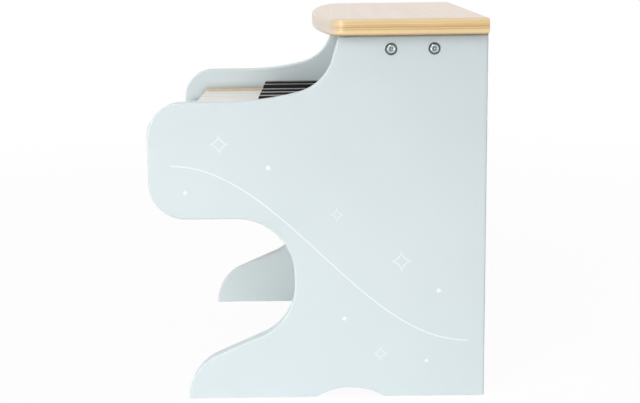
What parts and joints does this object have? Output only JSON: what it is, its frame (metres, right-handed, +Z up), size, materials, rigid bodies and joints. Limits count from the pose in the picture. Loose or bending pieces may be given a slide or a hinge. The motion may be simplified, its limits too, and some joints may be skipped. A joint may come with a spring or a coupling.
{
  "type": "toy piano",
  "caption": "Small wooden toy upright piano: cut-out painted side panels, natural wood lid, hinged keys that swing hammers against tone bars.",
  "frame": {"origin": "on the floor, under the middle of the case's width and depth", "axes": "+Z up, -Y to the player, +X to the player's right (treble end)"},
  "size_m": [0.287, 0.25, 0.286],
  "materials": {
    "painted_board": "satin pale blue-grey paint on board",
    "lid_wood": "clear lacquer on pale plywood",
    "plain_wood": "bare pale wood",
    "white_paint": "satin white paint",
    "black_paint": "satin black paint",
    "bright_steel": "zinc plated",
    "tone_metal": "milled bar",
    "felt": "pressed felt",
    "hammer_plastic": "moulded"
  },
  "bodies": {
    "case": {"side_panel_left": "painted_board", "side_panel_right": "painted_board", "lid": "lid_wood", "top_brace": "plain_wood", "side_bolts": "bright_steel", "barrel_nuts": "bright_steel", "lid_screws": "bright_steel", "fascia_board": "painted_board", "key_slip": "painted_board", "kick_board": "painted_board", "back_panel": "painted_board", "key_bed": "plain_wood", "front_stop_felt": "felt", "rear_rest_rail": "plain_wood", "rear_rest_felt": "felt", "key_rod": "bright_steel", "hammer_rod": "bright_steel", "key_cheek_right": "plain_wood", "key_cheek_left": "plain_wood", "tone_bars": "tone_metal", "tone_bar_front_rail": "plain_wood", "tone_bar_rear_rail": "plain_wood", "tone_bar_felts": "felt", "tone_bar_pins": "bright_steel"},
    "white_key_01": {"white_key_01": "white_paint"},
    "black_key_01": {"black_key_01": "black_paint"},
    "white_key_02": {"white_key_02": "white_paint"},
    "black_key_02": {"black_key_02": "black_paint"},
    "white_key_03": {"white_key_03": "white_paint"},
    "white_key_04": {"white_key_04": "white_paint"},
    "black_key_03": {"black_key_03": "black_paint"},
    "white_key_05": {"white_key_05": "white_paint"},
    "black_key_04": {"black_key_04": "black_paint"},
    "white_key_06": {"white_key_06": "white_paint"},
    "black_key_05": {"black_key_05": "black_paint"},
    "white_key_07": {"white_key_07": "white_paint"},
    "white_key_08": {"white_key_08": "white_paint"},
    "black_key_06": {"black_key_06": "black_paint"},
    "white_key_09": {"white_key_09": "white_paint"},
    "black_key_07": {"black_key_07": "black_paint"},
    "white_key_10": {"white_key_10": "white_paint"},
    "white_key_11": {"white_key_11": "white_paint"},
    "hammer_01": {"hammer_01": "hammer_plastic"},
    "hammer_02": {"hammer_02": "hammer_plastic"},
    "hammer_03": {"hammer_03": "hammer_plastic"},
    "hammer_04": {"hammer_04": "hammer_plastic"},
    "hammer_05": {"hammer_05": "hammer_plastic"},
    "hammer_06": {"hammer_06": "hammer_plastic"},
    "hammer_07": {"hammer_07": "hammer_plastic"},
    "hammer_08": {"hammer_08": "hammer_plastic"},
    "hammer_09": {"hammer_09": "hammer_plastic"},
    "hammer_10": {"hammer_10": "hammer_plastic"},
    "hammer_11": {"hammer_11": "hammer_plastic"},
    "hammer_12": {"hammer_12": "hammer_plastic"},
    "hammer_13": {"hammer_13": "hammer_plastic"},
    "hammer_14": {"hammer_14": "hammer_plastic"},
    "hammer_15": {"hammer_15": "hammer_plastic"},
    "hammer_16": {"hammer_16": "hammer_plastic"},
    "hammer_17": {"hammer_17": "hammer_plastic"},
    "hammer_18": {"hammer_18": "hammer_plastic"}
  },
  "joints": [
    {"name": "white_key_01_press", "type": "hinge", "parent": "case", "child": "white_key_01", "pos_m": [0, -0.015, 0.201], "axis": [1, 0, 0], "range_deg": [0, 5]},
    {"name": "black_key_01_press", "type": "hinge", "parent": "case", "child": "black_key_01", "pos_m": [0, -0.015, 0.201], "axis": [1, 0, 0], "range_deg": [0, 5]},
    {"name": "white_key_02_press", "type": "hinge", "parent": "case", "child": "white_key_02", "pos_m": [0, -0.015, 0.201], "axis": [1, 0, 0], "range_deg": [0, 5]},
    {"name": "black_key_02_press", "type": "hinge", "parent": "case", "child": "black_key_02", "pos_m": [0, -0.015, 0.201], "axis": [1, 0, 0], "range_deg": [0, 5]},
    {"name": "white_key_03_press", "type": "hinge", "parent": "case", "child": "white_key_03", "pos_m": [0, -0.015, 0.201], "axis": [1, 0, 0], "range_deg": [0, 5]},
    {"name": "white_key_04_press", "type": "hinge", "parent": "case", "child": "white_key_04", "pos_m": [0, -0.015, 0.201], "axis": [1, 0, 0], "range_deg": [0, 5]},
    {"name": "black_key_03_press", "type": "hinge", "parent": "case", "child": "black_key_03", "pos_m": [0, -0.015, 0.201], "axis": [1, 0, 0], "range_deg": [0, 5]},
    {"name": "white_key_05_press", "type": "hinge", "parent": "case", "child": "white_key_05", "pos_m": [0, -0.015, 0.201], "axis": [1, 0, 0], "range_deg": [0, 5]},
    {"name": "black_key_04_press", "type": "hinge", "parent": "case", "child": "black_key_04", "pos_m": [0, -0.015, 0.201], "axis": [1, 0, 0], "range_deg": [0, 5]},
    {"name": "white_key_06_press", "type": "hinge", "parent": "case", "child": "white_key_06", "pos_m": [0, -0.015, 0.201], "axis": [1, 0, 0], "range_deg": [0, 5]},
    {"name": "black_key_05_press", "type": "hinge", "parent": "case", "child": "black_key_05", "pos_m": [0, -0.015, 0.201], "axis": [1, 0, 0], "range_deg": [0, 5]},
    {"name": "white_key_07_press", "type": "hinge", "parent": "case", "child": "white_key_07", "pos_m": [0, -0.015, 0.201], "axis": [1, 0, 0], "range_deg": [0, 5]},
    {"name": "white_key_08_press", "type": "hinge", "parent": "case", "child": "white_key_08", "pos_m": [0, -0.015, 0.201], "axis": [1, 0, 0], "range_deg": [0, 5]},
    {"name": "black_key_06_press", "type": "hinge", "parent": "case", "child": "black_key_06", "pos_m": [0, -0.015, 0.201], "axis": [1, 0, 0], "range_deg": [0, 5]},
    {"name": "white_key_09_press", "type": "hinge", "parent": "case", "child": "white_key_09", "pos_m": [0, -0.015, 0.201], "axis": [1, 0, 0], "range_deg": [0, 5]},
    {"name": "black_key_07_press", "type": "hinge", "parent": "case", "child": "black_key_07", "pos_m": [0, -0.015, 0.201], "axis": [1, 0, 0], "range_deg": [0, 5]},
    {"name": "white_key_10_press", "type": "hinge", "parent": "case", "child": "white_key_10", "pos_m": [0, -0.015, 0.201], "axis": [1, 0, 0], "range_deg": [0, 5]},
    {"name": "white_key_11_press", "type": "hinge", "parent": "case", "child": "white_key_11", "pos_m": [0, -0.015, 0.201], "axis": [1, 0, 0], "range_deg": [0, 5]},
    {"name": "hammer_01_swing", "type": "hinge", "parent": "case", "child": "hammer_01", "pos_m": [0, 0.107, 0.212], "axis": [-1, 0, 0], "range_deg": [0, 20.6]},
    {"name": "hammer_02_swing", "type": "hinge", "parent": "case", "child": "hammer_02", "pos_m": [0, 0.107, 0.212], "axis": [-1, 0, 0], "range_deg": [0, 20.6]},
    {"name": "hammer_03_swing", "type": "hinge", "parent": "case", "child": "hammer_03", "pos_m": [0, 0.107, 0.212], "axis": [-1, 0, 0], "range_deg": [0, 20.6]},
    {"name": "hammer_04_swing", "type": "hinge", "parent": "case", "child": "hammer_04", "pos_m": [0, 0.107, 0.212], "axis": [-1, 0, 0], "range_deg": [0, 20.6]},
    {"name": "hammer_05_swing", "type": "hinge", "parent": "case", "child": "hammer_05", "pos_m": [0, 0.107, 0.212], "axis": [-1, 0, 0], "range_deg": [0, 20.6]},
    {"name": "hammer_06_swing", "type": "hinge", "parent": "case", "child": "hammer_06", "pos_m": [0, 0.107, 0.212], "axis": [-1, 0, 0], "range_deg": [0, 20.6]},
    {"name": "hammer_07_swing", "type": "hinge", "parent": "case", "child": "hammer_07", "pos_m": [0, 0.107, 0.212], "axis": [-1, 0, 0], "range_deg": [0, 20.6]},
    {"name": "hammer_08_swing", "type": "hinge", "parent": "case", "child": "hammer_08", "pos_m": [0, 0.107, 0.212], "axis": [-1, 0, 0], "range_deg": [0, 20.6]},
    {"name": "hammer_09_swing", "type": "hinge", "parent": "case", "child": "hammer_09", "pos_m": [0, 0.107, 0.212], "axis": [-1, 0, 0], "range_deg": [0, 20.6]},
    {"name": "hammer_10_swing", "type": "hinge", "parent": "case", "child": "hammer_10", "pos_m": [0, 0.107, 0.212], "axis": [-1, 0, 0], "range_deg": [0, 20.6]},
    {"name": "hammer_11_swing", "type": "hinge", "parent": "case", "child": "hammer_11", "pos_m": [0, 0.107, 0.212], "axis": [-1, 0, 0], "range_deg": [0, 20.6]},
    {"name": "hammer_12_swing", "type": "hinge", "parent": "case", "child": "hammer_12", "pos_m": [0, 0.107, 0.212], "axis": [-1, 0, 0], "range_deg": [0, 20.6]},
    {"name": "hammer_13_swing", "type": "hinge", "parent": "case", "child": "hammer_13", "pos_m": [0, 0.107, 0.212], "axis": [-1, 0, 0], "range_deg": [0, 20.6]},
    {"name": "hammer_14_swing", "type": "hinge", "parent": "case", "child": "hammer_14", "pos_m": [0, 0.107, 0.212], "axis": [-1, 0, 0], "range_deg": [0, 20.6]},
    {"name": "hammer_15_swing", "type": "hinge", "parent": "case", "child": "hammer_15", "pos_m": [0, 0.107, 0.212], "axis": [-1, 0, 0], "range_deg": [0, 20.6]},
    {"name": "hammer_16_swing", "type": "hinge", "parent": "case", "child": "hammer_16", "pos_m": [0, 0.107, 0.212], "axis": [-1, 0, 0], "range_deg": [0, 20.6]},
    {"name": "hammer_17_swing", "type": "hinge", "parent": "case", "child": "hammer_17", "pos_m": [0, 0.107, 0.212], "axis": [-1, 0, 0], "range_deg": [0, 20.6]},
    {"name": "hammer_18_swing", "type": "hinge", "parent": "case", "child": "hammer_18", "pos_m": [0, 0.107, 0.212], "axis": [-1, 0, 0], "range_deg": [0, 20.6]}
  ],
  "couplings": [
    {"joint": "hammer_01_swing", "follows": "white_key_01_press", "ratio": 4.0833},
    {"joint": "hammer_02_swing", "follows": "black_key_01_press", "ratio": 4.0833},
    {"joint": "hammer_03_swing", "follows": "white_key_02_press", "ratio": 4.0833},
    {"joint": "hammer_04_swing", "follows": "black_key_02_press", "ratio": 4.0833},
    {"joint": "hammer_05_swing", "follows": "white_key_03_press", "ratio": 4.0833},
    {"joint": "hammer_06_swing", "follows": "white_key_04_press", "ratio": 4.0833},
    {"joint": "hammer_07_swing", "follows": "black_key_03_press", "ratio": 4.0833},
    {"joint": "hammer_08_swing", "follows": "white_key_05_press", "ratio": 4.0833},
    {"joint": "hammer_09_swing", "follows": "black_key_04_press", "ratio": 4.0833},
    {"joint": "hammer_10_swing", "follows": "white_key_06_press", "ratio": 4.0833},
    {"joint": "hammer_11_swing", "follows": "black_key_05_press", "ratio": 4.0833},
    {"joint": "hammer_12_swing", "follows": "white_key_07_press", "ratio": 4.0833},
    {"joint": "hammer_13_swing", "follows": "white_key_08_press", "ratio": 4.0833},
    {"joint": "hammer_14_swing", "follows": "black_key_06_press", "ratio": 4.0833},
    {"joint": "hammer_15_swing", "follows": "white_key_09_press", "ratio": 4.0833},
    {"joint": "hammer_16_swing", "follows": "black_key_07_press", "ratio": 4.0833},
    {"joint": "hammer_17_swing", "follows": "white_key_10_press", "ratio": 4.0833},
    {"joint": "hammer_18_swing", "follows": "white_key_11_press", "ratio": 4.0833}
  ]
}
